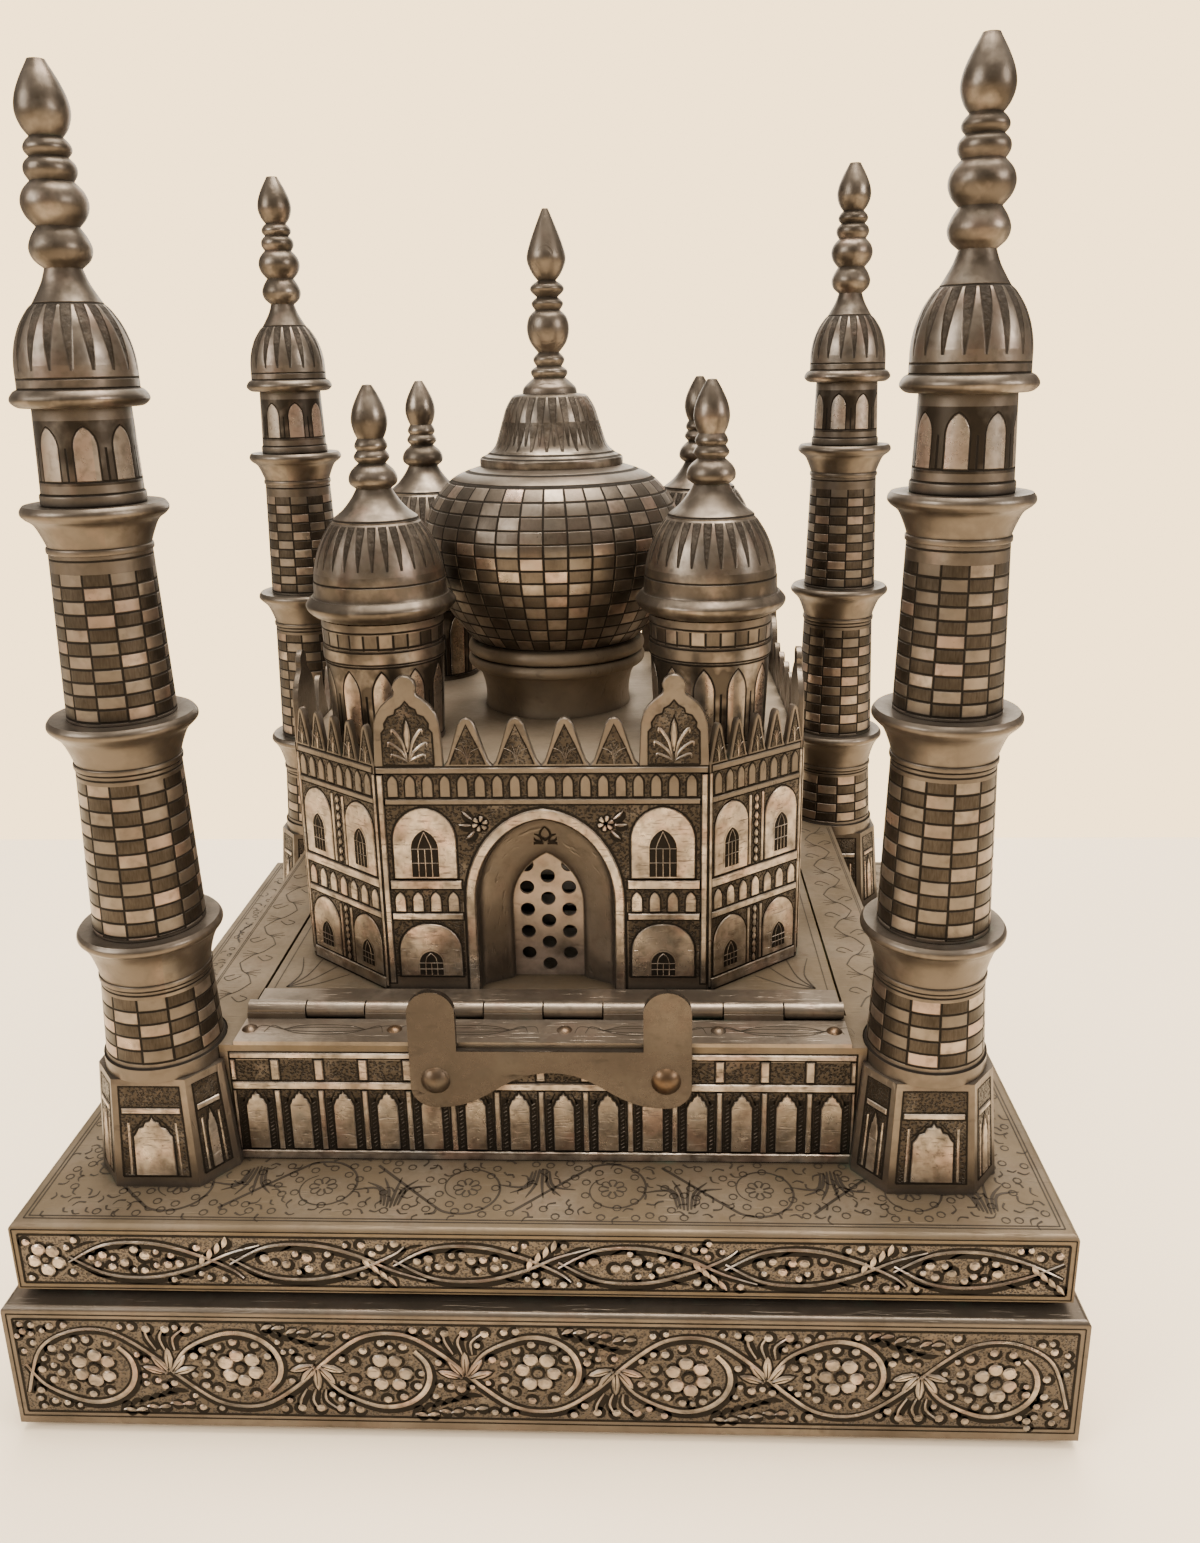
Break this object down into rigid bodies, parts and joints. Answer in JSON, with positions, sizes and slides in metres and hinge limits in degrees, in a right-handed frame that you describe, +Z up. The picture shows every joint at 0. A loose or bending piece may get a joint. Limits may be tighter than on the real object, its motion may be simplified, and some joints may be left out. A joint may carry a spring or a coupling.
{
  "type": "music box",
  "caption": "Engraved metal music box in the form of a domed hall with minarets on a stepped base; the hall is the lid and tips forward on a hinge.",
  "frame": {"origin": "centre of the base on the plane that the box stands on", "axes": "+X to the viewer's right, +Y from the hinged front to the back, +Z up"},
  "size_m": [0.1972, 0.1712, 0.2387],
  "materials": {
    "engraved_plate": "engraved and tarnished silver-coloured plate",
    "polished_plate": "worn polished silver-coloured plate",
    "brass_sheet": "dull sheet brass",
    "movement_brass": "turned and brushed brass",
    "steel": "plain steel",
    "board_wood": "stained board",
    "felt": "felt pad"
  },
  "bodies": {
    "base": {"lower_tier": "engraved_plate", "upper_tier": "engraved_plate", "bottom_board": "board_wood", "corner_blocks": "board_wood", "board_screws": "steel", "base_glides": "felt", "platform_front_wall": "engraved_plate", "platform_rear_and_side_walls": "engraved_plate", "platform_rim": "engraved_plate", "compartment_tray": "brass_sheet", "fixed_hinge_leaf": "engraved_plate", "hinge_leaf_rivets": "polished_plate", "hinge_pin": "polished_plate", "lid_stop_plate": "engraved_plate", "stop_plate_rivets": "polished_plate", "key_well": "movement_brass", "bedplate": "movement_brass", "bedplate_screws": "steel", "comb": "steel", "comb_screws": "steel", "minaret_front_left_foot": "engraved_plate", "minaret_front_left_tower": "engraved_plate", "minaret_front_left_cap": "polished_plate", "minaret_front_right_foot": "engraved_plate", "minaret_front_right_tower": "engraved_plate", "minaret_front_right_cap": "polished_plate", "minaret_rear_left_foot": "engraved_plate", "minaret_rear_left_tower": "engraved_plate", "minaret_rear_left_cap": "polished_plate", "minaret_rear_right_foot": "engraved_plate", "minaret_rear_right_tower": "engraved_plate", "minaret_rear_right_cap": "polished_plate"},
    "lid": {"lid_plate": "engraved_plate", "lid_hinge_leaf": "engraved_plate", "front_facade": "engraved_plate", "right_facade": "engraved_plate", "rear_facade": "engraved_plate", "left_facade": "engraved_plate", "corner_walls": "engraved_plate", "portal_niches": "engraved_plate", "portal_grilles": "engraved_plate", "roof_plate": "engraved_plate", "dome_drum": "engraved_plate", "main_dome": "engraved_plate", "dome_lotus_cap": "polished_plate", "dome_finial": "polished_plate", "kiosk_front_left_drum": "engraved_plate", "kiosk_front_left_cap": "polished_plate", "kiosk_front_right_drum": "engraved_plate", "kiosk_front_right_cap": "polished_plate", "kiosk_rear_left_drum": "engraved_plate", "kiosk_rear_left_cap": "polished_plate", "kiosk_rear_right_drum": "engraved_plate", "kiosk_rear_right_cap": "polished_plate"},
    "winder": {"winding_arbor": "steel", "winding_key": "steel"},
    "spring_barrel": {"spring_barrel": "movement_brass"},
    "cylinder": {"tune_cylinder": "movement_brass"},
    "fly": {"fly": "steel"},
    "stop_rod": {"stop_rod": "steel"}
  },
  "joints": [
    {"name": "lid_hinge", "type": "hinge", "parent": "base", "child": "lid", "pos_m": [0, -0.0528, 0.07115], "axis": [1, 0, 0], "range_deg": [0, 90]},
    {"name": "key_turn", "type": "hinge", "parent": "base", "child": "winder", "pos_m": [0, 0, 0.013], "axis": [0, 0, 1], "continuous": true},
    {"name": "barrel_turn", "type": "hinge", "parent": "base", "child": "spring_barrel", "pos_m": [0, 0, 0.0235], "axis": [0, 0, 1], "continuous": true},
    {"name": "cylinder_turn", "type": "hinge", "parent": "base", "child": "cylinder", "pos_m": [0.031, 0, 0.0323], "axis": [1, 0, 0], "continuous": true},
    {"name": "fly_turn", "type": "hinge", "parent": "base", "child": "fly", "pos_m": [0.052, 0.0083, 0.0323], "axis": [1, 0, 0], "continuous": true},
    {"name": "stop_rod_lift", "type": "slide", "parent": "base", "child": "stop_rod", "axis": [0, 0, 1], "range_m": [0, 0.003]}
  ],
  "couplings": [
    {"joint": "barrel_turn", "follows": "cylinder_turn", "ratio": 0.33333},
    {"joint": "fly_turn", "follows": "cylinder_turn", "ratio": -4},
    {"joint": "stop_rod_lift", "follows": "lid_hinge", "m_per_rad": 0.0019}
  ]
}
